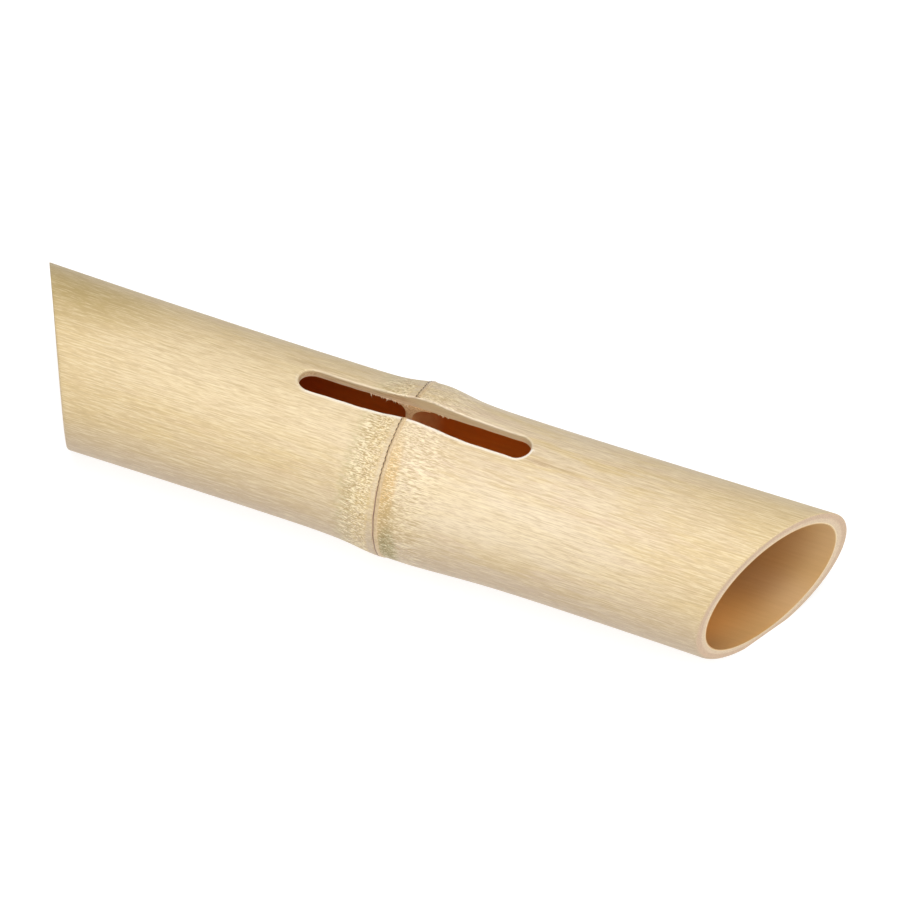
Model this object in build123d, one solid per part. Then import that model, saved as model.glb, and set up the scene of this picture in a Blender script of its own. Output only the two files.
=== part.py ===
from build123d import *

# Bamboo sounding tube: one length of culm, open and slant-cut at both ends, with one node near
# mid length and a long routed slot that crosses the node on top. A telephone stands in the slot
# on the node's cross-wall, and each half of the tube carries its sound out of an open end.
#
# The culm is one grown piece. It is divided here where its anatomy divides it: two internodes,
# the flare and the ridge that make up the node's wall, the ring-shaped scar of the culm sheath,
# the cross-wall inside, and the thin pith skin that lines each chamber.
#
# Frame, in millimetres: +X from the root end to the tip end, +Y to the back, +Z up. The origin is
# on the surface that the tube stands on, below the middle of the culm. Each piece is first made
# about the culm's own axis with the sheath scar at X = 0, and then set into the frame.

import os
from math import radians, sin, tan

# Culm
OVERALL_LENGTH = 300.0
SCAR_X = -1.5  # the sheath scar, from the middle of the culm
NODE_RADIUS = 29.8  # of the plain culm, where the node would be
WAIST_RADIUS = 29.65  # each internode is narrowest a little way from the node
WAIST_X = 55.0
ROOT_END_RISE = 1.2  # how much wider than its waist the culm is at each end
TIP_END_RISE = 0.8
END_SPAN = 95.0  # from a waist to an end
BORE_RADIUS = 26.2  # inside of the woody wall
LINING_THICKNESS = 0.3
AXIS_HEIGHT = 29.1  # lower than the radius, so the sanded underside is flat

# Slant cuts: both are vertical, so the back of the tube is longer than its front
END_CUT_DEG = 28.6
ROOT_CUT_HOLLOW = 0.5  # how far the saw wandered inwards from a plane, half way across
TIP_CUT_HOLLOW = 0.3

# Node, measured from the middle of the sheath scar. Each rise is over the plain culm's radius
FLARE_LENGTH = 16.0
FLARE_RISE = 1.7
FLARE_SLOPE = 0.25  # where the flare meets the scar
RIDGE_LENGTH = 24.0
RIDGE_RISE = 1.85
RIDGE_CREST_X = 5.5
RIDGE_FOOT_RISE = 1.6  # beside the scar
RIDGE_FOOT_SLOPE = 0.1
SCAR_WIDTH = 2.0
SCAR_RISE = 2.3
SCAR_SEAT_RISE = 0.2  # the seat that the scar grows from

# Cross-wall inside the node
WEB_X = -1.4
WEB_THICKNESS = 2.2
WEB_DISH = 2.5  # how far the middle of the cross-wall bows towards the root
ROOT_FILLET = 4.0
TIP_FILLET = 7.0

# Slot
SLOT_LENGTH = 85.0
SLOT_WIDTH = 10.0
SLOT_CENTRE_X = 2.9
SLOT_OFFSET = 3.8  # from the culm's axis to the back
SLOT_DEPTH = 17.0  # from the top of the plain culm to the floor of the notch in the cross-wall

OVERSHOOT = 40.0  # how far cutting solids run past the culm
LINING_RADIUS = BORE_RADIUS - LINING_THICKNESS
SEAT_RADIUS = NODE_RADIUS + SCAR_SEAT_RISE
ROOT_REACH = OVERALL_LENGTH / 2 + SCAR_X  # from the scar to the root end
TIP_REACH = OVERALL_LENGTH / 2 - SCAR_X
BLANK_REACH = OVERALL_LENGTH / 2 + 10.0  # the uncut culm, each way from the scar
PLACE = Pos(SCAR_X, 0, AXIS_HEIGHT)


def culm_radius(x):
    """Radius of the plain culm, without its node: waisted beside the node, wider at both ends."""
    if abs(x) < WAIST_X:
        return WAIST_RADIUS + (NODE_RADIUS - WAIST_RADIUS) * (1 - (x / WAIST_X) ** 2) ** 2
    end_rise = ROOT_END_RISE if x < 0 else TIP_END_RISE
    return WAIST_RADIUS + end_rise * ((abs(x) - WAIST_X) / END_SPAN) ** 1.5


def culm_direction(x):
    """The direction in which the plain culm's outline runs at x."""
    return (2.0, culm_radius(x + 1.0) - culm_radius(x - 1.0))


def turned(profile):
    """The solid that a closed profile, drawn as (x, radius), sweeps round the culm's axis."""
    return revolve(make_face(profile), Axis.X)


def slant_cut(side, reach, hollow):
    """What lies beyond the slant cut at one end. side is -1 for the root end, 1 for the tip end."""
    back_y = culm_radius(side * reach)
    back_x = side * reach
    front_x = side * (reach - 2 * back_y * tan(radians(END_CUT_DEG)))
    middle_x = (front_x + back_x) / 2 - side * hollow
    outer_x = side * (reach + 3 * OVERSHOOT)
    far_y = back_y + OVERSHOOT
    kerf = ThreePointArc((front_x, -back_y), (middle_x, 0), (back_x, back_y))
    corners = [(back_x, back_y), (back_x, far_y), (outer_x, far_y), (outer_x, -far_y)]
    plan = make_face(kerf + Polyline(*corners, (front_x, -far_y), (front_x, -back_y)))
    return extrude(plan, amount=NODE_RADIUS + OVERSHOOT, both=True)


def slot_cutter():
    """The routed slot: round ends and upright, parallel walls."""
    outline = SlotOverall(SLOT_LENGTH, SLOT_WIDTH)
    cutter = extrude(outline, amount=SLOT_DEPTH + OVERSHOOT, dir=(0, 0, 1))
    return Pos(SLOT_CENTRE_X, SLOT_OFFSET, NODE_RADIUS - SLOT_DEPTH) * cutter


def below_the_stand():
    """Everything under the sanded flat."""
    width = 2 * OVERALL_LENGTH
    return Pos(0, 0, -AXIS_HEIGHT - OVERSHOOT / 2) * Box(width, width, OVERSHOOT)


def finished(blank):
    """The blank with the end cuts, the slot and the flat taken out of it, set into the frame."""
    sawn = blank - slant_cut(-1, ROOT_REACH, ROOT_CUT_HOLLOW)
    sawn = sawn - slant_cut(1, TIP_REACH, TIP_CUT_HOLLOW)
    return PLACE * (sawn - slot_cutter() - below_the_stand())


def internode(x_start, x_end):
    """A length of plain wall."""
    steps = 10
    stations = [x_start + (x_end - x_start) * i / steps for i in range(steps + 1)]
    outside = Spline(*[(x, culm_radius(x)) for x in stations])
    corners = [(x_end, culm_radius(x_end)), (x_end, BORE_RADIUS), (x_start, BORE_RADIUS)]
    return finished(turned(outside + Polyline(*corners, (x_start, culm_radius(x_start)))))


def lower_node_flare():
    """The wall swells from the root-side internode up to the scar."""
    start = (-FLARE_LENGTH, culm_radius(-FLARE_LENGTH))
    shoulder = (-SCAR_WIDTH / 2, NODE_RADIUS + FLARE_RISE)
    swell = Spline(start, shoulder, tangents=[culm_direction(-FLARE_LENGTH), (1.0, FLARE_SLOPE)])
    seat = [shoulder, (shoulder[0], SEAT_RADIUS), (0, SEAT_RADIUS)]
    bore = [(0, BORE_RADIUS), (-FLARE_LENGTH, BORE_RADIUS), start]
    return finished(turned(swell + Polyline(*seat, *bore)))


def supranodal_ridge():
    """The wall swells past the scar, then falls back to the tip-side internode."""
    shoulder = (SCAR_WIDTH / 2, NODE_RADIUS + RIDGE_FOOT_RISE)
    crest = (RIDGE_CREST_X, NODE_RADIUS + RIDGE_RISE)
    end = (RIDGE_LENGTH, culm_radius(RIDGE_LENGTH))
    slopes = [(1.0, RIDGE_FOOT_SLOPE), culm_direction(RIDGE_LENGTH)]
    swell = Spline(shoulder, crest, end, tangents=slopes)
    bore = [end, (RIDGE_LENGTH, BORE_RADIUS), (0, BORE_RADIUS)]
    seat = [(0, SEAT_RADIUS), (shoulder[0], SEAT_RADIUS), shoulder]
    return finished(turned(swell + Polyline(*bore, *seat)))


def sheath_scars():
    """The raised ring that the culm sheath left. The slot and the flat part it into two arcs."""
    half = SCAR_WIDTH / 2
    shoulder = NODE_RADIUS + SCAR_RISE - half
    crest = ThreePointArc((-half, shoulder), (0, shoulder + half), (half, shoulder))
    sides = Polyline((half, shoulder), (half, SEAT_RADIUS), (-half, SEAT_RADIUS), (-half, shoulder))
    front, back = finished(turned(crest + sides)).solids().sort_by(Axis.Y)
    return front, back


def node_diaphragm():
    """The cross-wall: a thin dished web that flares out into the bore on both faces."""
    root_face = WEB_X - WEB_THICKNESS / 2
    tip_face = WEB_X + WEB_THICKNESS / 2
    turn = sin(radians(45))
    root_web = (root_face, LINING_RADIUS - ROOT_FILLET)
    root_rim = (root_face - ROOT_FILLET, LINING_RADIUS)
    root_mid = (root_rim[0] + ROOT_FILLET * turn, root_web[1] + ROOT_FILLET * turn)
    tip_web = (tip_face, LINING_RADIUS - TIP_FILLET)
    tip_rim = (tip_face + TIP_FILLET, LINING_RADIUS)
    tip_mid = (tip_rim[0] - TIP_FILLET * turn, tip_web[1] + TIP_FILLET * turn)
    outline = (
        ThreePointArc(root_rim, root_mid, root_web)
        + Spline(root_web, (root_face - WEB_DISH, 0), tangents=[(0, -1), (0, -1)])
        + Line((root_face - WEB_DISH, 0), (tip_face - WEB_DISH, 0))
        + Spline((tip_face - WEB_DISH, 0), tip_web, tangents=[(0, 1), (0, 1)])
        + ThreePointArc(tip_web, tip_mid, tip_rim)
        + Polyline(tip_rim, (tip_rim[0], BORE_RADIUS), (root_rim[0], BORE_RADIUS), root_rim)
    )
    return finished(turned(outline))


def pith_lining(x_start, x_end):
    """The thin inner skin of one chamber."""
    corners = [(x_start, LINING_RADIUS), (x_end, LINING_RADIUS)]
    corners += [(x_end, BORE_RADIUS), (x_start, BORE_RADIUS)]
    return finished(turned(Polyline(*corners, close=True)))


def parts():
    root_rim_x = WEB_X - WEB_THICKNESS / 2 - ROOT_FILLET
    tip_rim_x = WEB_X + WEB_THICKNESS / 2 + TIP_FILLET
    scar_front, scar_back = sheath_scars()
    return {
        "lower_internode": internode(-BLANK_REACH, -FLARE_LENGTH),
        "lower_node_flare": lower_node_flare(),
        "sheath_scar_front": scar_front,
        "sheath_scar_back": scar_back,
        "supranodal_ridge": supranodal_ridge(),
        "upper_internode": internode(RIDGE_LENGTH, BLANK_REACH),
        "node_diaphragm": node_diaphragm(),
        "lower_pith_lining": pith_lining(-BLANK_REACH, root_rim_x),
        "upper_pith_lining": pith_lining(tip_rim_x, BLANK_REACH),
    }


os.makedirs("parts", exist_ok=True)
for name, shape in parts().items():
    export_step(shape, f"parts/{name}.step")
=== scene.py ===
"""Looks of the bamboo sounding tube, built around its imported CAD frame.

The culm's wall is meshed again at high resolution as one continuous surface, and then divided at
the same places as the CAD nodes, so that each node has a closed piece of its own that stands for it.

Shapes are worked out in millimetres in culm coordinates: x along the culm from its sheath scar, y to
the back and z up from its axis, and an angle round the axis, 0 on top and growing to the front.
"""

from math import asin, cos, pi, radians, sin, tan

import bmesh
import bpy
import numpy as np
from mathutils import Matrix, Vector


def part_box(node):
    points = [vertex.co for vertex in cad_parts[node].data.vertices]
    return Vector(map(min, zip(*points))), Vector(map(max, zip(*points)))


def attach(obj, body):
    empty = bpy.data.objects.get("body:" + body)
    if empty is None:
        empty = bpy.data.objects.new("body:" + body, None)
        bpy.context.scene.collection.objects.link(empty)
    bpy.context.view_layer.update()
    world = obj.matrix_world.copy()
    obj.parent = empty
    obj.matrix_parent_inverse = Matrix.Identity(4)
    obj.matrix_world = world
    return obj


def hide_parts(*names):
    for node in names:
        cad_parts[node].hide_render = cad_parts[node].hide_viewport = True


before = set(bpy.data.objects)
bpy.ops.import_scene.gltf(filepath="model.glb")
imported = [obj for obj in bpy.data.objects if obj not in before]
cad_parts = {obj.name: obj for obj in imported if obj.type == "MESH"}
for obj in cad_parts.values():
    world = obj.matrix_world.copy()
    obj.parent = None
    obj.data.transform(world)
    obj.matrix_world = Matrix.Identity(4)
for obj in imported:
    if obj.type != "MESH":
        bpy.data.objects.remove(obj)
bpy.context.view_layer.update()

MM = 0.001

# ---------------------------------------------------------------- dimensions, in millimetres


def node_box(name):
    """A CAD node's box in millimetres."""
    low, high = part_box(name)
    return np.array(low) / MM, np.array(high) / MM


SCAR_LOW, SCAR_HIGH = node_box("sheath_scar_front")
LINING_LOW, LINING_HIGH = node_box("lower_pith_lining")

SCAR_X = (SCAR_LOW[0] + SCAR_HIGH[0]) / 2
AXIS_HEIGHT = (LINING_LOW[2] + LINING_HIGH[2]) / 2
BORE = (LINING_HIGH[1] - LINING_LOW[1]) / 2  # radius inside the woody wall
LINING = 0.3  # thickness of the pith skin
ROOT_END = node_box("lower_internode")[0][0] - SCAR_X
TIP_END = node_box("upper_internode")[1][0] - SCAR_X
FLARE_START = node_box("lower_node_flare")[0][0] - SCAR_X
RIDGE_END = node_box("supranodal_ridge")[1][0] - SCAR_X
ROOT_RIM = LINING_HIGH[0] - SCAR_X  # where the root-side lining meets the cross-wall
TIP_RIM = node_box("node_diaphragm")[1][0] - SCAR_X  # and the tip-side one

NODE_RADIUS = 29.8  # of the plain culm, where the node would be
WAIST_RADIUS = 29.65  # of each internode, where it is narrowest
WAIST_X = 55.0
ROOT_END_RISE = 1.2  # how much wider than its waist the culm is at each end
TIP_END_RISE = 0.8
END_SPAN = 95.0  # from a waist to an end
END_SLOPE = tan(radians(28.6))
ROOT_HOLLOW = 0.5  # of the slant cuts, half way across
TIP_HOLLOW = 0.3
END_EASE = 0.75  # rounding of the sawn ends' outer edge, on average
END_EASE_LEAN = 0.6  # how much less of it the long side of a cut has, and the short side more

SLOT_LENGTH = 85.0
SLOT_RADIUS = 5.0
SLOT_X = 2.9
SLOT_Y = 3.8
SLOT_BOW = 0.35  # how far to the front the slot lies, except where it crosses the node
SLOT_BOW_REACH = 14.0
SLOT_TIGHTNESS = 0.12  # how much less than its radius each half of its width is
SLOT_SPREAD = 0.2  # how much wider its tip half is, and how much narrower its root half
SLOT_FLOOR = 12.8  # height of the cross-wall's notch over the axis
SLOT_EASE = 1.0  # rounding of the slot's upper edge
SLOT_UNDER_EASE = 0.3  # and of its lower edge
ARC_LEFT = SLOT_X - SLOT_LENGTH / 2 + SLOT_RADIUS
ARC_RIGHT = SLOT_X + SLOT_LENGTH / 2 - SLOT_RADIUS
SHEAR_ROOT = ARC_LEFT - SLOT_RADIUS - SLOT_EASE - 4.0  # from here outwards, columns lean to the cuts
SHEAR_TIP = ARC_RIGHT + SLOT_RADIUS + SLOT_EASE + 4.0

# The node swells high and short on the upper back, and low and long on the lower front
BACK_ANGLE = radians(-51.0)
MEAN_SHIFT = 0.9  # of the scar, from its plane towards the tip
FLARE_RISE = 1.85
FLARE_BACK = 6.3  # how far each swelling reaches along the culm
FLARE_FRONT = 13.0
RIDGE_CREST = 5.0
RIDGE_RISE_BACK = 2.15
RIDGE_RISE_FRONT = 1.55
RIDGE_BACK = 12.0
RIDGE_FRONT = 25.0

WEB_X = -1.4  # the cross-wall
WEB_THICKNESS = 2.2
WEB_DISH = 2.5
ROOT_FILLET = 4.0
TIP_FILLET = 7.0

ROWS = 320  # round the culm
LINING_ROWS = 200

rng = np.random.default_rng(20)

# ---------------------------------------------------------------- culm surface


def smooth(t):
    t = np.clip(t, 0.0, 1.0)
    return t * t * (3 - 2 * t)


def waves(count, x_waves, turns, amplitude):
    """A sum of random waves over the culm's surface that closes round it. x_waves are per mm."""
    kx = rng.uniform(-x_waves, x_waves, count) * 2 * pi
    ka = rng.integers(-turns, turns + 1, count)
    phase = rng.uniform(0, 2 * pi, count)
    size = amplitude * np.sqrt(2.0 / count)

    def height(x, angle):
        total = 0.0
        for i in range(count):
            total = total + np.sin(kx[i] * x + ka[i] * angle + phase[i])
        return size * total

    return height


SLOW_WAVES = waves(10, 0.012, 4, 0.05)
NODE_WAVES = waves(24, 0.10, 16, 0.035)


def culm_radius(x):
    """Radius of the plain culm, without its node: waisted beside the node, wider at both ends."""
    inner = (1 - np.minimum(abs(x) / WAIST_X, 1.0) ** 2) ** 2
    outer = np.maximum((abs(x) - WAIST_X) / END_SPAN, 0.0) ** 1.5
    end_rise = np.where(np.less(x, 0), ROOT_END_RISE, TIP_END_RISE)
    return WAIST_RADIUS + (NODE_RADIUS - WAIST_RADIUS) * inner + end_rise * outer


def scar_shift(angle):
    """How far the scar wanders towards the tip: most behind the slot and low on the front."""
    behind = np.exp(8.0 * (np.cos(angle + 0.45) - 1))
    front = np.exp(2.2 * (np.cos(angle - 2.0) - 1))
    return MEAN_SHIFT - 0.15 + 1.2 * behind + 1.8 * front


def backness(angle):
    """1 over the upper back and the slot, 0 on the lower front."""
    return smooth((np.cos(angle - BACK_ANGLE) + 0.6) / 1.2)


def blend(angle, back, front):
    return front + (back - front) * backness(angle)


def node_swell(x, angle):
    """Rise of the node's wall over the plain culm."""
    x = x - scar_shift(angle) + MEAN_SHIFT
    flare_length = blend(angle, FLARE_BACK, FLARE_FRONT)
    power = blend(angle, 1.3, 1.7)
    flare = FLARE_RISE * np.exp(-(np.maximum(-x / flare_length, 0.0) ** power))
    ridge_length = blend(angle, RIDGE_BACK, RIDGE_FRONT)
    ridge_rise = blend(angle, RIDGE_RISE_BACK, RIDGE_RISE_FRONT)
    ridge = ridge_rise * np.exp(-(((x - RIDGE_CREST) / ridge_length) ** 2))
    return flare + (ridge - flare) * smooth(x / 2.0 + 0.5)


def outer_radius(x, angle):
    """Radius of the culm's outside at x and an angle."""
    near_node = np.exp(-((x / 14.0) ** 2))
    waviness = SLOW_WAVES(x, angle) + near_node * NODE_WAVES(x, angle)
    return culm_radius(x) + node_swell(x, angle) + waviness


def bore_radius(_x, angle):
    """Radius inside the woody wall, the same everywhere."""
    return np.full_like(angle, BORE, dtype=float)


def lining_radius(_x, angle):
    """Radius inside the pith skin, the same everywhere."""
    return np.full_like(angle, BORE - LINING, dtype=float)


def around(x, radius, angle):
    """Points in culm coordinates at an angle round the axis."""
    return np.stack(np.broadcast_arrays(x, -radius * np.sin(angle), radius * np.cos(angle)), -1)


def sanded(points):
    """The points with the flat underside sanded off them, its edge slightly eased."""
    ease = 0.15
    over = points[..., 2] + AXIS_HEIGHT
    share = np.clip(0.5 + over / (2 * ease), 0.0, 1.0)
    out = points.copy()
    out[..., 2] = over * share + ease * share * (1 - share) - AXIS_HEIGHT
    return out


def end_ease(y):
    """Rounding of a sawn end's outer edge: least at the back, on the long side of the cut."""
    return END_EASE * (1 - END_EASE_LEAN * y / NODE_RADIUS)


def end_plane(side, y):
    """x of the slant cut at one end, where the culm's y is given."""
    reach, hollow = (TIP_END, TIP_HOLLOW) if side > 0 else (-ROOT_END, ROOT_HOLLOW)
    back = culm_radius(side * reach)
    return side * (reach - END_SLOPE * (back - y) - hollow * (1 - (y / back) ** 2))


# ---------------------------------------------------------------- stations along the culm


def spaced(start, end, step):
    count = max(1, round(abs(end - start) / step))
    return np.linspace(start, end, count + 1)[:-1]


def stations(end_step):
    """Columns along the culm, as (kind, x, t).

    kind is -1 in the root end's leaning zone and 1 in the tip end's, where t is the column's share
    of the way to the cut. It is 2 on the slot, where t is the turn round the slot's end arc, 0 at
    its tip and a right angle on the straight. It is 0 elsewhere.
    """
    arc = np.linspace(0, pi / 2, 15)
    reach = SLOT_RADIUS + SLOT_EASE
    columns = []
    for x in spaced(ROOT_END, SHEAR_ROOT, end_step):
        columns.append((-1, x, (x - SHEAR_ROOT) / (ROOT_END - SHEAR_ROOT)))
    for x in spaced(SHEAR_ROOT, ARC_LEFT - reach, 1.0):
        columns.append((0, x, 0.0))
    for turn in arc[:-1]:
        columns.append((2, ARC_LEFT, turn))
    limits = [ARC_LEFT, FLARE_START, -1.0, 0.0, 3.0, RIDGE_END, ARC_RIGHT]
    steps = [0.7, 0.4, 0.3, 0.3, 0.4, 0.7]
    for start, end, step in zip(limits, limits[1:], steps):
        for x in spaced(start, end, step):
            columns.append((2, x, pi / 2))
    for turn in arc[::-1]:
        columns.append((2, ARC_RIGHT, turn))
    for x in spaced(SHEAR_TIP, ARC_RIGHT + reach, 1.0)[::-1]:
        columns.append((0, x, 0.0))
    for x in spaced(TIP_END, SHEAR_TIP, end_step)[::-1]:
        columns.append((1, x, (x - SHEAR_TIP) / (TIP_END - SHEAR_TIP)))
    return columns


def slot_y(x):
    """Middle of the slot across the culm, with its slight bow."""
    return SLOT_Y - SLOT_BOW * (1 - np.exp(-((x / SLOT_BOW_REACH) ** 2)))


def half_width(x):
    """Half of the slot's width at x, with the tool's slight wander."""
    wander = 0.05 * np.sin(x / 3.1) + 0.04 * np.sin(x / 1.3 + 1.0)
    nominal = SLOT_RADIUS - SLOT_TIGHTNESS
    return nominal + SLOT_SPREAD * np.tanh((x + 5.0) / 12.0) + wander


def slot_point(column, offset):
    """(x, half width) of the slot's outline, drawn offset outwards, at one of its columns."""
    _, x, turn = column
    if turn < pi / 2 - 1e-9:
        side = -1 if x == ARC_LEFT else 1
        x = x + side * (SLOT_RADIUS + offset) * cos(turn)
    return x, (half_width(x) + offset) * sin(turn)


def column_index(columns, x):
    """The straight slot column that lies at x."""
    for i, (kind, at, turn) in enumerate(columns):
        if kind == 2 and turn >= pi / 2 - 1e-9 and abs(at - x) < 1e-6:
            return i
    raise ValueError(f"no column at {x}")


def angle_over(x, y, radius_at):
    """The angle at which a surface stands over y."""
    angle = 0.0
    for _ in range(4):
        angle = -asin(y / float(radius_at(x, angle)))
    return angle


def sheet(columns, rows, radius_at, offset, eased):
    """A surface round the culm, open along the slot: one line of points for each column.

    It stops short of the slot's outline by offset, and of the end cuts by their rounding if eased.
    """
    lines = []
    share = np.linspace(0, 1, rows + 1)
    for kind, x, t in columns:
        half = 0.0
        if kind == 2:
            x, half = slot_point((kind, x, t), offset)
        first = angle_over(x, slot_y(x) - half, radius_at)
        last = angle_over(x, slot_y(x) + half, radius_at) + 2 * pi
        angle = first + (last - first) * share
        at = np.full(rows + 1, float(x))
        if kind in (-1, 1):
            edge = sanded(around(at, radius_at(at, angle), angle))
            inset = end_ease(edge[:, 1]) if eased else 0.0
            end = end_plane(kind, edge[:, 1]) - kind * inset
            start = SHEAR_ROOT if kind < 0 else SHEAR_TIP
            at = start + t * (end - start)
        lines.append(sanded(around(at, radius_at(at, angle), angle)))
    return np.array(lines)


def curve_rows(a, corner, b, count):
    """Rows of an eased corner from a to b, without its first row."""
    rows = []
    for t in np.linspace(0, 1, count + 1)[1:]:
        rows.append((1 - t) ** 2 * a + 2 * t * (1 - t) * corner + t * t * b)
    return rows


# ---------------------------------------------------------------- meshes


class Shell:
    """Points and faces of one closed piece, gathered patch by patch and welded where they meet."""

    def __init__(self, *marks):
        self.points = []
        self.faces = []
        self.marks = {name: [] for name in marks}
        self.count = 0

    def _add(self, points, marks):
        points = points.reshape(-1, 3)
        start = self.count
        self.points.append(points)
        for name, values in self.marks.items():
            values.append(np.broadcast_to(marks.get(name, 0.0), (len(points),)))
        self.count += len(points)
        return start

    def grid(self, points, **marks):
        """Quads over a grid of points, with a value or a value for each row for each mark."""
        n, m = points.shape[:2]
        spread = {}
        for name, value in marks.items():
            value = np.asarray(value, float)
            value = value[:, None] if value.ndim == 1 else value
            spread[name] = np.broadcast_to(value, (n, m)).reshape(-1)
        start = self._add(points, spread)
        index = start + np.arange(n * m).reshape(n, m)
        corners = [index[:-1, :-1], index[1:, :-1], index[1:, 1:], index[:-1, 1:]]
        self.faces.extend(np.stack(corners, -1).reshape(-1, 4).tolist())

    def polygon(self, points, **marks):
        start = self._add(np.asarray(points), marks)
        self.faces.append(list(range(start, start + len(points))))

    def spike(self, base, tip, radius, **marks):
        """A thin closed cone."""
        base, tip = np.asarray(base, float), np.asarray(tip, float)
        along = (tip - base) / np.linalg.norm(tip - base)
        across = np.cross(along, (0.0, 1.0, 0.0))
        across = across / np.linalg.norm(across)
        other = np.cross(along, across)
        turns = np.linspace(0, 2 * pi, 6)[:-1]
        ring = [base + radius * (across * cos(t) + other * sin(t)) for t in turns]
        start = self._add(np.array(ring + [tip]), marks)
        self.faces.append([start + k for k in range(5)])
        for k in range(5):
            self.faces.append([start + k, start + (k + 1) % 5, start + 5])

    def build(self, name):
        """The Blender object, welded, facing outwards, in metres and in the frame."""
        points = np.concatenate(self.points)
        key = np.round(points * 2000).astype(np.int64)
        _, first, weld = np.unique(key, axis=0, return_index=True, return_inverse=True)
        weld = weld.reshape(-1)
        faces = []
        for face in self.faces:
            ring = [weld[i] for i in face]
            ring = [v for k, v in enumerate(ring) if v != ring[k - 1]]
            if len(ring) > 2:
                faces.append(ring)
        place = np.array([SCAR_X, 0.0, AXIS_HEIGHT])
        mesh = bpy.data.meshes.new(name)
        mesh.from_pydata((points[first] + place) * MM, [], faces)
        for mark, values in self.marks.items():
            layer = mesh.attributes.new(mark, "FLOAT", "POINT")
            layer.data.foreach_set("value", np.concatenate(values)[first].astype(np.float32))
        return finish_mesh(mesh, name)


def finish_mesh(mesh, name, sharp_deg=40.0):
    """Turns the faces outwards, smooths their shading and links the object."""
    work = bmesh.new()
    work.from_mesh(mesh)
    bmesh.ops.dissolve_degenerate(work, dist=1e-7, edges=work.edges)
    bmesh.ops.recalc_face_normals(work, faces=work.faces)
    work.to_mesh(mesh)
    work.free()
    mesh.polygons.foreach_set("use_smooth", [True] * len(mesh.polygons))
    mesh.set_sharp_from_angle(angle=radians(sharp_deg))
    made = bpy.data.objects.new(name, mesh)
    bpy.context.scene.collection.objects.link(made)
    return made


def slot_side(columns, side, top, bottom):
    """Rows down one long side of the slot, between the edges of the outer and the inner sheet."""
    corner, under = [], []
    for column in columns:
        x, half = slot_point(column, 0.0)
        y = slot_y(x) + side * half
        radius = float(outer_radius(x, angle_over(x, y, outer_radius)))
        corner.append((x, y, (radius * radius - y * y) ** 0.5))
        under.append((x, y, (BORE * BORE - y * y) ** 0.5))
    corner, under = np.array(corner), np.array(under)
    start = corner - [0, 0, SLOT_EASE]
    stop = under + [0, 0, SLOT_UNDER_EASE]
    rows = [top] + curve_rows(top, corner, start, 6)
    depth = [0.0] * 7
    for t in np.linspace(0, 1, 7)[1:]:
        rows.append(start + (stop - start) * t)
        depth.append(0.9 * t)
    rows += curve_rows(stop, under, bottom, 3)
    depth += [0.95, 1.0, 1.0]
    return np.array(rows), np.array(depth)


def end_rows(side, outer_line, inner_line):
    """Rows over a sawn end, from the outer sheet's last column to the bore."""
    rim = outer_line.copy()
    rim[:, 0] = end_plane(side, rim[:, 1])
    toward = inner_line - rim
    reach = np.linalg.norm(toward, axis=1, keepdims=True)
    inset = rim + toward * (end_ease(rim[:, 1:2]) / reach)
    inset[:, 0] = end_plane(side, inset[:, 1])
    rows = [outer_line] + curve_rows(outer_line, rim, inset, 5)
    depth = [0.0] * 6
    for t in np.linspace(0, 1, 7)[1:]:
        row = inset + (inner_line - inset) * t
        row[:, 0] = end_plane(side, row[:, 1])
        rows.append(row)
        depth.append(t)
    return np.array(rows), np.array(depth)


def torn_fibres(shell, start, end):
    """Fibres that the router left standing on the back wall's lower edge, beside the cross-wall.

    They stand in tufts, longer on the root side, and there are none on the cross-wall itself.
    """
    for x in np.sort(rng.uniform(-16.0, 14.0, 120)):
        tuft = 1.0 if np.sin(1.9 * x) > 0.3 else 0.4
        longest = 1.3 if x < 0 else 0.5
        length = rng.uniform(0.2, 0.6) + longest * tuft * rng.uniform() ** 2
        lean = rng.normal(0.0, 0.35)
        drop = rng.uniform(0.0, 0.5)
        radius = rng.uniform(0.12, 0.28)
        if not start < x < end or -1.0 < x < 8.5:
            continue
        y = slot_y(x) + half_width(x)
        z = (BORE * BORE - y * y) ** 0.5
        base = (x, y + 0.10, z + drop)
        tip = (x + lean * length, y + 0.05 - 0.25 * length, z + drop - length)
        shell.spike(base, tip, radius, sidegrain=1.0, depth=0.9)


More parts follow.
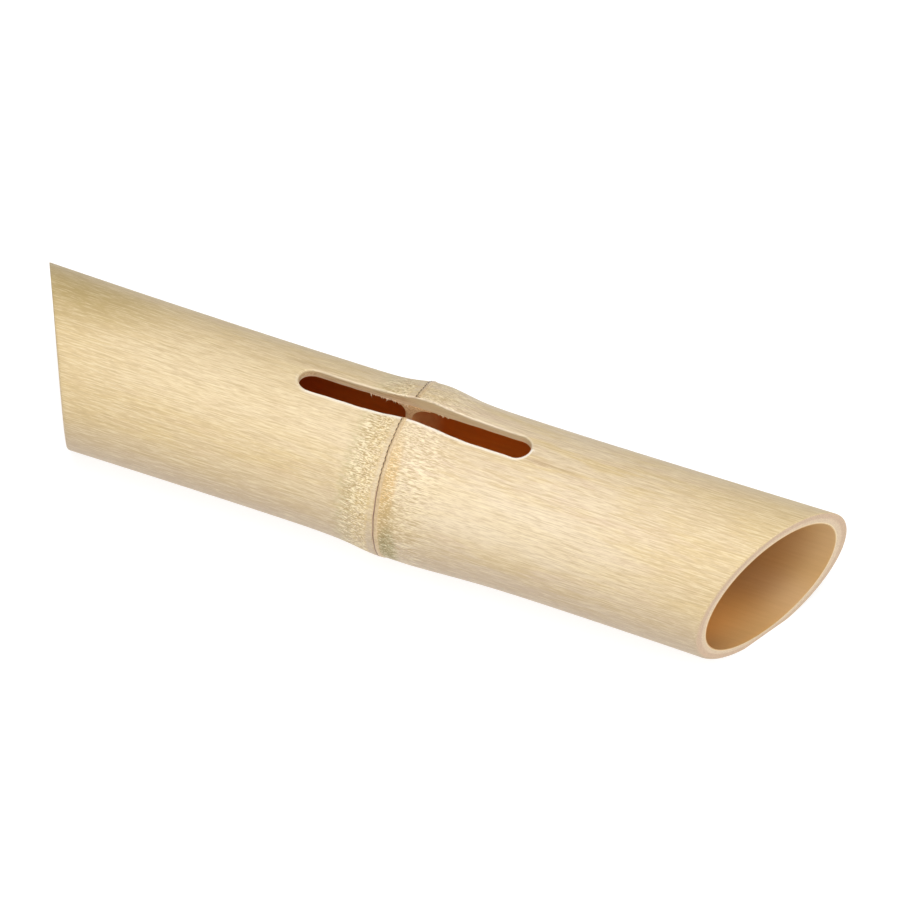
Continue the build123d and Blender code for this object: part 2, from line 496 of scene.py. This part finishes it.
def build_walls():
    """The four wall pieces, cut from one surface at the CAD nodes' own limits.

    The slot's lip carries a painted highlight, strongest on the front side and hardly at all round
    the root-end arc.
    """
    columns = stations(2.2)
    outer = sheet(columns, ROWS, outer_radius, SLOT_EASE, True)
    inner = sheet(columns, ROWS, bore_radius, SLOT_UNDER_EASE, False)
    on_slot = [i for i, c in enumerate(columns) if c[0] == 2]
    first, final = on_slot[0], on_slot[-1]
    slot = slice(first, final + 1)
    sides = []
    for side, row in ((-1, 0), (1, -1)):
        rows, depth = slot_side(columns[slot], side, outer[slot, row], inner[slot, row])
        sides.append((side, rows))
    step = np.arange(len(depth))
    cut = smooth((step - 4.0) / 3.0)
    # Painted highlight on the slot's eased upper edge: full on the front side and faint on the back.
    lip_painted_highlight = {-1: smooth((6.0 - step) / 2.0), 1: 0.3 * np.exp(-(((step - 3.0) / 2.0) ** 2))}
    along = np.array([slot_point(column, 0.0)[0] for column in columns[slot]])
    # The painted highlight fades out round the root-end arc.
    painted_highlight_reach = 0.2 + 0.8 * smooth((along - along[0] - 1.5) / 4.0)
    # The front edge's first rows of outer skin carry the same painted highlight.
    rim_painted_highlight = np.zeros((len(columns), ROWS + 1))
    rim_painted_highlight[slot, 0] = painted_highlight_reach
    rim_painted_highlight[slot, 1] = 0.1 * painted_highlight_reach
    flare = column_index(columns, FLARE_START)
    scar = column_index(columns, 0.0)
    ridge = column_index(columns, RIDGE_END)
    last = len(columns) - 1
    limits = {
        "lower_internode": (0, flare),
        "lower_node_flare": (flare, scar),
        "supranodal_ridge": (scar, ridge),
        "upper_internode": (ridge, last),
    }
    made = {}
    for name, (a, b) in limits.items():
        shell = Shell("endgrain", "sidegrain", "depth", "rim")
        shell.grid(outer[a : b + 1], rim=rim_painted_highlight[a : b + 1])
        shell.grid(inner[a : b + 1], sidegrain=1.0, depth=1.0)
        part = slice(max(a, first) - first, min(b, final) - first + 1)
        for side, rows in sides:
            lip = lip_painted_highlight[side][:, None] * painted_highlight_reach[part]
            shell.grid(rows[:, part], sidegrain=cut, depth=depth, rim=lip)
        for side, i in ((-1, a), (1, b)):
            if i in (0, last):
                rows, share = end_rows(side, outer[i], inner[i])
                sawn = smooth((np.arange(len(share)) - 2.0) / 3.0)
                shell.grid(rows, endgrain=sawn, depth=share)
            else:
                shell.grid(np.stack([outer[i], inner[i]]), sidegrain=1.0)
                for _, rows in sides:
                    shell.polygon(rows[:, i - first], sidegrain=1.0)
        if name in ("lower_node_flare", "supranodal_ridge"):
            torn_fibres(shell, columns[a][1], columns[b][1])
        made[name] = shell.build(name)
    return made


def build_lining(name, side, limit):
    """The thin skin inside one chamber, from its open end to the cross-wall."""
    chosen = []
    for column in stations(6.0):
        x = slot_point(column, 0.0)[0] if column[0] == 2 else column[1]
        if side * (x - limit) > 0.2:
            chosen.append(column)
    edge = (2, limit, pi / 2)
    chosen = chosen + [edge] if side < 0 else [edge] + chosen
    outer = sheet(chosen, LINING_ROWS, bore_radius, SLOT_UNDER_EASE, False)
    inner = sheet(chosen, LINING_ROWS, lining_radius, SLOT_UNDER_EASE, False)
    shell = Shell()
    shell.grid(outer)
    shell.grid(inner)
    for i in (0, -1):
        shell.grid(np.stack([outer[i], inner[i]]))
    on_slot = [i for i, c in enumerate(chosen) if c[0] == 2]
    for row in (0, -1):
        shell.grid(np.stack([outer[on_slot, row], inner[on_slot, row]]))
    return shell.build(name)


# The sheath scar's section: (x, height over its seat as a share of its rise). A narrow lip on the
# root side, a groove where the sheath's bundles broke off, and a wider smooth band
SCAR_SECTION = [
    (-1.00, -0.60),
    (-0.97, -0.10),
    (-0.92, 0.45),
    (-0.85, 0.80),
    (-0.77, 0.85),
    (-0.70, 0.65),
    (-0.63, 0.25),
    (-0.55, 0.05),
    (-0.45, 0.20),
    (-0.34, 0.65),
    (-0.18, 0.95),
    (0.10, 1.05),
    (0.45, 1.00),
    (0.75, 0.75),
    (0.92, 0.30),
    (1.02, -0.15),
    (1.06, -0.60),
]


def build_scar(name, side):
    """One arc of the sheath scar, from the slot's edge round to the sanded flat."""
    count = 480
    profile = np.array(SCAR_SECTION)
    edge = angle_over(1.0, SLOT_Y - side * (half_width(1.0) + 0.4), outer_radius)
    limit = side * (pi - np.arccos(AXIS_HEIGHT / (NODE_RADIUS + 1.6)) + 0.05)
    angle = np.linspace(edge, limit, count + 1)
    x = profile[:, :1] + scar_shift(angle)[None]
    x = x + 0.05 * np.sin(23 * angle + 1.0)[None]
    turn = np.broadcast_to(angle, x.shape)
    rise = 0.32 + 0.05 * np.sin(17 * angle) + 0.03 * np.sin(41 * angle + 2.0)
    radius = outer_radius(x, turn) + rise[None] * profile[:, 1:]
    points = sanded(around(x, radius, turn))
    shell = Shell("across")
    shell.grid(points, across=profile[:, 0])
    shell.grid(points[[0, -1]], across=-1.0)
    shell.polygon(points[:, 0], across=0.5)
    shell.polygon(points[:, -1], across=0.5)
    return shell.build(name)


def web_profile():
    """The cross-wall's section, as (x, radius) round its closed outline."""
    inner = BORE - LINING
    root_face = WEB_X - WEB_THICKNESS / 2
    tip_face = WEB_X + WEB_THICKNESS / 2
    outline = []
    for t in np.linspace(0, pi / 2, 12):
        outline.append((root_face - ROOT_FILLET * (1 - sin(t)), inner - ROOT_FILLET * (1 - cos(t))))
    reach = inner - ROOT_FILLET
    for r in np.linspace(reach, 0, 24)[1:]:
        outline.append((root_face - WEB_DISH * float(smooth(1 - r / reach)), r))
    reach = inner - TIP_FILLET
    for r in np.linspace(0, reach, 24):
        outline.append((tip_face - WEB_DISH * float(smooth(1 - r / reach)), r))
    for t in np.linspace(0, pi / 2, 16)[1:]:
        outline.append((tip_face + TIP_FILLET * (1 - cos(t)), reach + TIP_FILLET * sin(t)))
    outline.append((tip_face + TIP_FILLET, BORE))
    outline.append((root_face - ROOT_FILLET, BORE))
    return outline


def notch_cutter():
    """A block as wide as the slot, over the cross-wall's notch."""
    mesh = bpy.data.meshes.new("notch")
    work = bmesh.new()
    bmesh.ops.create_cube(work, size=1.0)
    width = 2 * half_width(WEB_X)
    for v in work.verts:
        at = Vector((v.co.x * 60.0, SLOT_Y + v.co.y * width, SLOT_FLOOR + (v.co.z + 0.5) * 40.0))
        v.co = (at + Vector((SCAR_X, 0.0, AXIS_HEIGHT))) * MM
    work.to_mesh(mesh)
    work.free()
    cutter = bpy.data.objects.new("notch", mesh)
    bpy.context.scene.collection.objects.link(cutter)
    return cutter


def build_web():
    """The cross-wall, turned about the axis, with the slot's notch cut down into it."""
    outline = np.array(web_profile())
    angles = np.linspace(0, 2 * pi, 181)
    rings = np.array([around(outline[:, 0], outline[:, 1], a) for a in angles])
    rings = np.concatenate([rings, rings[:, :1]], 1)
    shell = Shell()
    shell.grid(rings)
    web = shell.build("node_diaphragm")
    cutter = notch_cutter()
    cut = web.modifiers.new("notch", "BOOLEAN")
    cut.operation = "DIFFERENCE"
    cut.solver = "EXACT"
    cut.object = cutter
    depsgraph = bpy.context.evaluated_depsgraph_get()
    done = bpy.data.meshes.new_from_object(web.evaluated_get(depsgraph))
    bpy.data.objects.remove(web)
    bpy.data.objects.remove(cutter)
    return finish_mesh(done, "node_diaphragm_web", 35.0)


# ---------------------------------------------------------------- materials


class Nodes:
    """Short calls for building one material's node tree."""

    def __init__(self, name):
        self.material = bpy.data.materials.new(name)
        self.material.use_nodes = True
        self.tree = self.material.node_tree
        self.shader = self.tree.nodes["Principled BSDF"]

    def put(self, kind, inputs=(), **settings):
        node = self.tree.nodes.new(kind)
        for key, value in settings.items():
            setattr(node, key, value)
        for socket, value in dict(inputs).items():
            self.set(node.inputs[socket], value)
        return node

    def set(self, socket, value):
        if isinstance(value, bpy.types.NodeSocket):
            self.tree.links.new(value, socket)
        else:
            socket.default_value = value

    def math(self, operation, a, b=0.0, c=0.0):
        return self.put("ShaderNodeMath", {0: a, 1: b, 2: c}, operation=operation).outputs[0]

    def vector(self, x, y, z):
        return self.put("ShaderNodeCombineXYZ", {0: x, 1: y, 2: z}).outputs[0]

    def mix(self, factor, a, b, blend="MIX"):
        node = self.put("ShaderNodeMix", data_type="RGBA", blend_type=blend)
        self.set(node.inputs["Factor"], factor)
        self.set(node.inputs["A"], a if isinstance(a, bpy.types.NodeSocket) else (*a, 1.0))
        self.set(node.inputs["B"], b if isinstance(b, bpy.types.NodeSocket) else (*b, 1.0))
        return node.outputs["Result"]

    def noise(self, vector, detail=2.0, roughness=0.5, scale=1.0):
        node = self.put("ShaderNodeTexNoise", {"Vector": vector, "Scale": scale, "Detail": detail})
        node.inputs["Roughness"].default_value = roughness
        return node.outputs[0]

    def band(self, value, low, high):
        """0 at low and 1 at high, smooth between; low may be the larger."""
        settings = {"Value": value, "From Min": low, "From Max": high}
        return self.put("ShaderNodeMapRange", settings, interpolation_type="SMOOTHSTEP").outputs[0]

    def mark(self, name):
        return self.put("ShaderNodeAttribute", attribute_name=name).outputs["Fac"]

    def spot(self, x, angle, at_x, at_angle, size_x, size_angle):
        """A soft patch on the culm: 1 at its middle and 0 past its size."""
        dx = self.math("DIVIDE", self.math("SUBTRACT", x, at_x), size_x)
        da = self.math("DIVIDE", self.math("SUBTRACT", angle, at_angle), size_angle)
        far = self.math("ADD", self.math("MULTIPLY", dx, dx), self.math("MULTIPLY", da, da))
        return self.band(far, 1.0, 0.0)


def culm_coordinates(n):
    """x, y and z from the axis in mm, and the angle from the top towards the front."""
    place = n.put("ShaderNodeTexCoord").outputs["Object"]
    parts = n.put("ShaderNodeSeparateXYZ", {0: place}).outputs
    x = n.math("MULTIPLY_ADD", parts[0], 1000.0, -SCAR_X)
    y = n.math("MULTIPLY", parts[1], 1000.0)
    z = n.math("MULTIPLY_ADD", parts[2], 1000.0, -AXIS_HEIGHT)
    return x, y, z, n.math("ARCTAN2", n.math("MULTIPLY", y, -1.0), z)


def along_grain(n, x, y, z, length, width, detail=2.0, roughness=0.5, shift=0.0):
    """Noise drawn out along the culm: one feature is about length by width."""
    place = n.vector(
        n.math("MULTIPLY_ADD", x, 1.0 / length, shift),
        n.math("MULTIPLY", y, 1.0 / width),
        n.math("MULTIPLY", z, 1.0 / width),
    )
    return n.noise(place, detail, roughness)


def around_node(n, x, start, full, fade, end):
    """A band along x: 0 at start, 1 between full and fade, and 0 at end."""
    return n.math("MULTIPLY", n.band(x, start, full), n.band(x, end, fade))


def add_skin_tone(n, x, y, z, angle):
    """The sanded skin: cream and straw streaks, yellower at the ends, with painted shade low on the
    front.
    """
    cream = (0.735, 0.590, 0.400)
    straw = (0.700, 0.535, 0.290)
    pink = (0.700, 0.530, 0.375)
    patches = along_grain(n, x, y, z, 30.0, 5.0, 3.0, 0.6)
    colour = n.mix(n.band(patches, 0.40, 0.64), cream, straw)
    blush = along_grain(n, x, y, z, 18.0, 3.5, 2.0, 0.5, 31.0)
    colour = n.mix(n.math("MULTIPLY", n.band(blush, 0.50, 0.68), 0.6), colour, pink)
    toward_ends = n.band(n.math("ABSOLUTE", x), 55.0, 145.0)
    colour = n.mix(n.math("MULTIPLY", toward_ends, 0.85), colour, straw)
    # Painted highlights: two paler patches on the upper front, where the sheen falls.
    painted_highlight_patches = [(-52.0, 0.25, 75.0, 0.8, 0.75), (45.0, 0.9, 65.0, 0.5, 0.7)]
    for at, turn, length, width, share in painted_highlight_patches:
        pale = n.spot(x, angle, at, turn, length, width)
        colour = n.mix(n.math("MULTIPLY", pale, share), colour, (0.820, 0.680, 0.480))
    # Painted shade: a darker patch just past the node on the upper front, dimming the sheen there.
    painted_shade_spot = n.spot(x, angle, 18.0, 0.2, 45.0, 0.45)
    colour = n.mix(n.math("MULTIPLY", painted_shade_spot, 0.4), colour, (0.680, 0.520, 0.330))
    root_side = n.band(x, 15.0, -40.0)
    colour = n.mix(n.math("MULTIPLY", root_side, 0.5), colour, (0.690, 0.520, 0.262))
    # Painted shade: the lower front is darkened towards grey-brown.
    low = n.band(angle, 1.05, 1.95)
    colour = n.mix(n.math("MULTIPLY", low, 0.85), colour, (0.490, 0.370, 0.265))
    weathered = n.spot(x, angle, -155.0, -0.35, 75.0, 0.75)
    blotches = n.math("MULTIPLY_ADD", n.band(patches, 0.3, 0.6), 0.35, 0.5)
    colour = n.mix(n.math("MULTIPLY", weathered, blotches), colour, (0.450, 0.330, 0.130))
    fine = along_grain(n, x, y, z, 3.0, 1.2, 3.0, 0.6, 55.0)
    grey = n.math("MULTIPLY", n.band(angle, -0.30, -0.85), n.band(fine, 0.25, 0.65))
    share = n.math("MULTIPLY_ADD", root_side, 0.22, 0.02)
    return n.mix(n.math("MULTIPLY", grey, share), colour, (0.480, 0.370, 0.220))


def add_fibres(n, colour, x, y, z):
    """Fine fibres: long dashes on the internodes, short and ragged ones beside the node."""
    squeezed = n.math("MULTIPLY", n.math("TANH", n.math("MULTIPLY", x, 1.0 / 9.0)), 4.8)
    u = n.math("MULTIPLY_ADD", x, 1.0 / 6.5, squeezed)
    place = n.vector(u, n.math("MULTIPLY", y, 1.0 / 0.44), n.math("MULTIPLY", z, 1.0 / 0.44))
    dashes = n.noise(place, 1.0, 0.45)
    place = n.vector(
        n.math("MULTIPLY_ADD", u, 2.3, 13.0),
        n.math("MULTIPLY", y, 1.0 / 0.27),
        n.math("MULTIPLY", z, 1.0 / 0.27),
    )
    hairs = n.noise(place, 1.0, 0.5)
    root_band = around_node(n, x, -13.0, -9.0, -2.4, -1.2)
    tip_band = around_node(n, x, 1.0, 3.0, 12.0, 26.0)
    worn = n.math("MAXIMUM", root_band, n.math("MULTIPLY", tip_band, 0.55))
    dark = n.math("MULTIPLY_ADD", worn, 0.70, 0.28)
    light = n.math("MULTIPLY_ADD", worn, 0.60, 0.26)
    brown = (0.500, 0.355, 0.185)
    amber = (0.500, 0.350, 0.170)
    white = (0.940, 0.820, 0.560)
    stain = n.mix(worn, brown, amber)
    colour = n.mix(n.math("MULTIPLY", n.band(dashes, 0.52, 0.64), dark), colour, stain)
    colour = n.mix(n.math("MULTIPLY", n.band(dashes, 0.47, 0.36), light), colour, white)
    colour = n.mix(n.math("MULTIPLY", n.band(hairs, 0.55, 0.70), dark), colour, stain)
    lit = n.math("MULTIPLY", n.band(hairs, 0.43, 0.30), light)
    colour = n.mix(lit, colour, white)
    lines = along_grain(n, x, y, z, 16.0, 0.35, 1.0, 0.5, 41.0)
    drawn = n.math("MULTIPLY", n.band(lines, 0.56, 0.68), n.math("SUBTRACT", 0.36, worn))
    return n.mix(drawn, colour, brown), dashes, hairs


def add_node_stains(n, colour, x, y, z, angle):
    """What the growing sheath left beside its scar: amber, green and olive, and a brown streak."""
    rough = along_grain(n, x, y, z, 1.6, 1.3, 3.0, 0.6, 90.0)
    ragged = n.band(rough, 0.32, 0.62)
    wide = n.math("MULTIPLY_ADD", rough, 0.5, 0.75)
    amber = n.math("MULTIPLY", n.spot(x, angle, 4.0, 0.95, 3.6, 0.75), wide)
    colour = n.mix(n.math("MULTIPLY", amber, 0.75), colour, (0.700, 0.425, 0.140))
    trail = n.math("MULTIPLY", around_node(n, x, 1.2, 2.2, 3.2, 5.5), n.band(angle, 0.1, 0.5))
    colour = n.mix(n.math("MULTIPLY", trail, 0.55), colour, (0.700, 0.480, 0.210))
    brown = n.math("MULTIPLY", n.spot(x, angle, 5.4, 1.30, 4.2, 0.40), wide)
    colour = n.mix(n.math("MULTIPLY", brown, 0.7), colour, (0.500, 0.350, 0.150))
    green = n.math("MULTIPLY", n.spot(x, angle, 6.4, 1.75, 4.8, 0.50), wide)
    colour = n.mix(green, colour, (0.240, 0.185, 0.045))
    olive = n.math("MULTIPLY", around_node(n, x, -15.5, -12.0, -9.0, -4.0), ragged)
    colour = n.mix(n.math("MULTIPLY", olive, 0.32), colour, (0.480, 0.430, 0.190))
    yellow = n.math("MULTIPLY", around_node(n, x, -9.0, -5.0, -1.5, -0.6), ragged)
    colour = n.mix(n.math("MULTIPLY", yellow, 0.40), colour, (0.740, 0.520, 0.170))
    streak = n.spot(x, angle, 53.0, 0.03, 14.0, 0.035)
    colour = n.mix(n.math("MULTIPLY", streak, 0.45), colour, (0.380, 0.230, 0.110))
    back_streak = n.spot(x, angle, -38.0, -0.36, 13.0, 0.05)
    return n.mix(n.math("MULTIPLY", back_streak, 0.35), colour, (0.450, 0.300, 0.160))


def bamboo_material():
    n = Nodes("sanded_bamboo")
    x, y, z, angle = culm_coordinates(n)
    skin = add_skin_tone(n, x, y, z, angle)
    skin = add_node_stains(n, skin, x, y, z, angle)
    skin, dashes, hairs = add_fibres(n, skin, x, y, z)
    # Painted highlight: the slot's front edge is mixed towards near-white.
    rim = n.mark("rim")
    skin = n.mix(n.math("MULTIPLY", rim, 0.8), skin, (0.960, 0.880, 0.760))

    depth = n.mark("depth")
    grain = along_grain(n, x, y, z, 7.0, 0.35, 3.0, 0.6, 17.0)
    wall = n.mix(n.band(grain, 0.34, 0.66), (0.740, 0.510, 0.270), (0.950, 0.730, 0.430))
    # Painted highlight: the lower part of the slot walls is paler, and the walls past the node
    # towards the tip are painted lighter still.
    pale = n.mix(n.band(grain, 0.30, 0.60), (0.800, 0.580, 0.370), (0.950, 0.740, 0.500))
    wall = n.mix(n.band(depth, 0.45, 0.85), wall, pale)
    wall = n.mix(n.math("MULTIPLY", n.band(x, -6.0, 6.0), 0.55), wall, (1.000, 0.860, 0.520))
    spots = along_grain(n, x, y, z, 0.5, 0.45, 2.0, 0.6, 70.0)
    outer_ring = n.mix(n.band(spots, 0.35, 0.65), (0.580, 0.405, 0.265), (0.690, 0.490, 0.325))
    inner_ring = n.mix(n.band(spots, 0.32, 0.68), (0.660, 0.490, 0.320), (0.790, 0.615, 0.430))
    sawn = n.mix(n.band(depth, 0.35, 0.62), outer_ring, inner_ring)
    colour = n.mix(n.mark("sidegrain"), skin, wall)
    colour = n.mix(n.mark("endgrain"), colour, sawn)

    n.set(n.shader.inputs["Base Color"], colour)
    n.shader.inputs["Roughness"].default_value = 0.5
    n.shader.inputs["Specular IOR Level"].default_value = 0.35
    relief = n.math("ADD", dashes, n.math("MULTIPLY", hairs, 0.6))
    bump = n.put("ShaderNodeBump", {"Height": relief, "Strength": 0.35, "Distance": 0.00010})
    n.set(n.shader.inputs["Normal"], bump.outputs[0])
    return n.material


def scar_material():
    """The scar: a bamboo-coloured lip, a mauve groove with painted shade in it, dotted with bundle
    ends, and a smooth grey band.
    """
    n = Nodes("sheath_scar")
    x, y, z, angle = culm_coordinates(n)
    across = n.mark("across")
    grain = along_grain(n, x, y, z, 0.8, 0.8, 2.0, 0.6, 5.0)
    lip = n.mix(n.band(grain, 0.35, 0.65), (0.640, 0.460, 0.220), (0.740, 0.580, 0.360))
    band = n.mix(n.band(grain, 0.35, 0.65), (0.560, 0.400, 0.220), (0.680, 0.510, 0.300))
    colour = n.mix(n.band(across, -0.85, -0.70), lip, band)
    lower = n.band(angle, 0.70, 1.10)
    # Painted shade in the groove, strongest on the lower front.
    groove = around_node(n, across, -0.82, -0.66, -0.44, -0.26)
    shade = n.math("MULTIPLY", groove, n.math("MULTIPLY_ADD", lower, 0.75, 0.10))
    colour = n.mix(shade, colour, (0.400, 0.260, 0.200))
    for centre, phase in ((-0.66, 0.0), (-0.42, pi)):
        beads = n.math("SINE", n.math("MULTIPLY_ADD", angle, 95.0, phase))
        beads = n.math("ADD", beads, n.math("MULTIPLY_ADD", grain, 2.0, -1.0))
        row = around_node(n, across, centre - 0.16, centre - 0.06, centre + 0.06, centre + 0.16)
        dots = n.math("MULTIPLY", row, n.band(beads, -0.1, 0.4))
        upper = n.math("SUBTRACT", 1.0, lower)
        colour = n.mix(n.math("MULTIPLY", dots, upper), colour, (0.050, 0.025, 0.020))
    # A darker painted shade line along the groove on the lower front.
    line = n.math("MULTIPLY", around_node(n, across, -0.72, -0.60, -0.50, -0.36), lower)
    colour = n.mix(n.math("MULTIPLY", line, 0.70), colour, (0.240, 0.140, 0.110))
    colour = n.mix(n.band(across, 0.75, 1.00), colour, lip)
    n.set(n.shader.inputs["Base Color"], colour)
    n.shader.inputs["Roughness"].default_value = 0.42
    return n.material


def lining_material():
    """Pith skin: tan at the mouths, and further in painted light and shade: orange on the front,
    darker at the back and red-brown deep inside.
    """
    n = Nodes("pith_lining")
    x, y, z, _ = culm_coordinates(n)
    grain = n.band(along_grain(n, x, y, z, 14.0, 1.1, 3.0, 0.6), 0.2, 0.8)
    # Painted shade: red-brown deep in each chamber, darkest in the root one.
    root = n.mix(grain, (0.620, 0.135, 0.009), (0.680, 0.165, 0.013))
    tip = n.mix(grain, (0.710, 0.200, 0.017), (0.780, 0.245, 0.026))
    deep = n.mix(n.band(x, -5.0, 5.0), root, tip)
    # Painted light on the front of the chambers and painted shade at their back.
    front = n.mix(grain, (0.930, 0.510, 0.160), (0.970, 0.540, 0.172))
    back = n.mix(grain, (0.480, 0.245, 0.072), (0.520, 0.270, 0.082))
    inner = n.mix(n.band(y, -8.0, 17.0), front, back)
    mouth = n.mix(grain, (0.630, 0.388, 0.155), (0.670, 0.420, 0.172))
    reach = n.math("ABSOLUTE", n.math("ADD", x, n.math("MULTIPLY", y, -END_SLOPE)))
    colour = n.mix(n.band(reach, 55.0, 105.0), deep, inner)
    colour = n.mix(n.math("MULTIPLY", n.band(reach, 117.0, 132.0), 0.9), colour, mouth)
    n.set(n.shader.inputs["Base Color"], colour)
    n.shader.inputs["Roughness"].default_value = 0.5
    return n.material


def web_material():
    """Cross-wall: pale torn fibres on its cut edges, and on its faces skin painted bright orange in
    the middle and red-brown shade towards the lining.
    """
    n = Nodes("diaphragm")
    x, y, z, _ = culm_coordinates(n)
    grain = along_grain(n, x, y, z, 0.6, 0.9, 3.0, 0.65)
    beside = n.math("ABSOLUTE", n.math("SUBTRACT", y, SLOT_Y))
    cut = n.math("MULTIPLY", n.band(beside, 5.9, 5.3), n.band(z, SLOT_FLOOR - 0.6, SLOT_FLOOR))
    fibre = n.mix(n.band(grain, 0.34, 0.66), (0.740, 0.480, 0.230), (0.970, 0.700, 0.380))
    skin = n.mix(n.band(grain, 0.34, 0.66), (0.940, 0.580, 0.215), (0.980, 0.640, 0.250))
    # Painted light: near-white orange on the middle of the faces; painted shade: red-brown along the
    # fillets, as deep in the lining.
    skin = n.mix(n.band(x, -0.2, 5.8), skin, (0.745, 0.222, 0.021))
    skin = n.mix(n.band(x, -3.0, -6.4), skin, (0.650, 0.150, 0.011))
    n.set(n.shader.inputs["Base Color"], n.mix(cut, skin, fibre))
    n.shader.inputs["Roughness"].default_value = 0.6
    return n.material


# ---------------------------------------------------------------- pieces


def dress(piece, material, node):
    piece.data.materials.clear()
    piece.data.materials.append(material)
    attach(piece, "root")
    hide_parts(node)


def build_object():
    bamboo = bamboo_material()
    scar = scar_material()
    skin = lining_material()
    web = web_material()
    for node, piece in build_walls().items():
        piece.name = node + "_wall"
        dress(piece, bamboo, node)
    dress(build_lining("lower_pith_skin", -1, ROOT_RIM), skin, "lower_pith_lining")
    dress(build_lining("upper_pith_skin", 1, TIP_RIM), skin, "upper_pith_lining")
    dress(build_scar("sheath_scar_front_arc", 1), scar, "sheath_scar_front")
    dress(build_scar("sheath_scar_back_arc", -1), scar, "sheath_scar_back")
    dress(build_web(), web, "node_diaphragm")


# ---------------------------------------------------------------- floor, lights and camera


def build_floor():
    """A plain pale table that glows a little, so that it looks evenly lit."""
    mesh = bpy.data.meshes.new("floor")
    half = 4.0
    corners = [(-half, -half, 0), (half, -half, 0), (half, half, 0), (-half, half, 0)]
    mesh.from_pydata(corners, [], [(0, 1, 2, 3)])
    floor = bpy.data.objects.new("floor", mesh)
    bpy.context.scene.collection.objects.link(floor)
    n = Nodes("floor")
    n.shader.inputs["Base Color"].default_value = (0.35, 0.35, 0.35, 1)
    n.shader.inputs["Emission Color"].default_value = (1.0, 1.0, 1.0, 1)
    n.shader.inputs["Emission Strength"].default_value = 0.78
    n.shader.inputs["Roughness"].default_value = 0.9
    n.shader.inputs["Specular IOR Level"].default_value = 0.0
    mesh.materials.append(n.material)


def area_light(name, direction, distance, size, power, target):
    light = bpy.data.lights.new(name, "AREA")
    light.shape = "DISK"
    light.size = size
    light.energy = power
    lamp = bpy.data.objects.new(name, light)
    aim = Vector(direction).normalized()
    lamp.location = Vector(target) + aim * distance
    lamp.rotation_mode = "QUATERNION"
    lamp.rotation_quaternion = aim.to_track_quat("Z", "Y")
    bpy.context.scene.collection.objects.link(lamp)


def build_lights():
    world = bpy.data.worlds.new("studio")
    world.use_nodes = True
    background = world.node_tree.nodes["Background"]
    background.inputs["Color"].default_value = (1.0, 1.0, 1.0, 1.0)
    background.inputs["Strength"].default_value = 0.12
    bpy.context.scene.world = world
    middle = (0.0, 0.0, 0.03)
    area_light("top", (0.0, 0.0, 1.0), 1.2, 0.9, 7.5, middle)
    area_light("top_front", (0.0, -0.68, 1.0), 1.2, 0.9, 7.7, middle)
    area_light("right", (1.0, 0.0, 0.6), 1.4, 1.0, 6.0, middle)


def build_camera():
    azimuth = radians(21.8)
    elevation = radians(53.6)
    distance = 1.515
    aim_right = 0.01616
    aim_up = 0.00626
    back = Vector((sin(azimuth) * cos(elevation), -cos(azimuth) * cos(elevation), sin(elevation)))
    right = Vector((cos(azimuth), sin(azimuth), 0.0))
    up = back.cross(right)
    node = Vector((SCAR_X, 0.0, AXIS_HEIGHT)) * MM
    data = bpy.data.cameras.new("camera")
    data.sensor_width = 36.0
    data.lens = 175.0
    data.clip_start = 0.05
    data.clip_end = 20.0
    camera = bpy.data.objects.new("camera", data)
    camera.location = node + right * aim_right + up * aim_up + back * distance
    camera.rotation_mode = "QUATERNION"
    camera.rotation_quaternion = back.to_track_quat("Z", "Y")
    bpy.context.scene.collection.objects.link(camera)
    bpy.context.scene.camera = camera


build_camera()
build_lights()
build_floor()
build_object()
bpy.context.scene.view_settings.view_transform = "Standard"
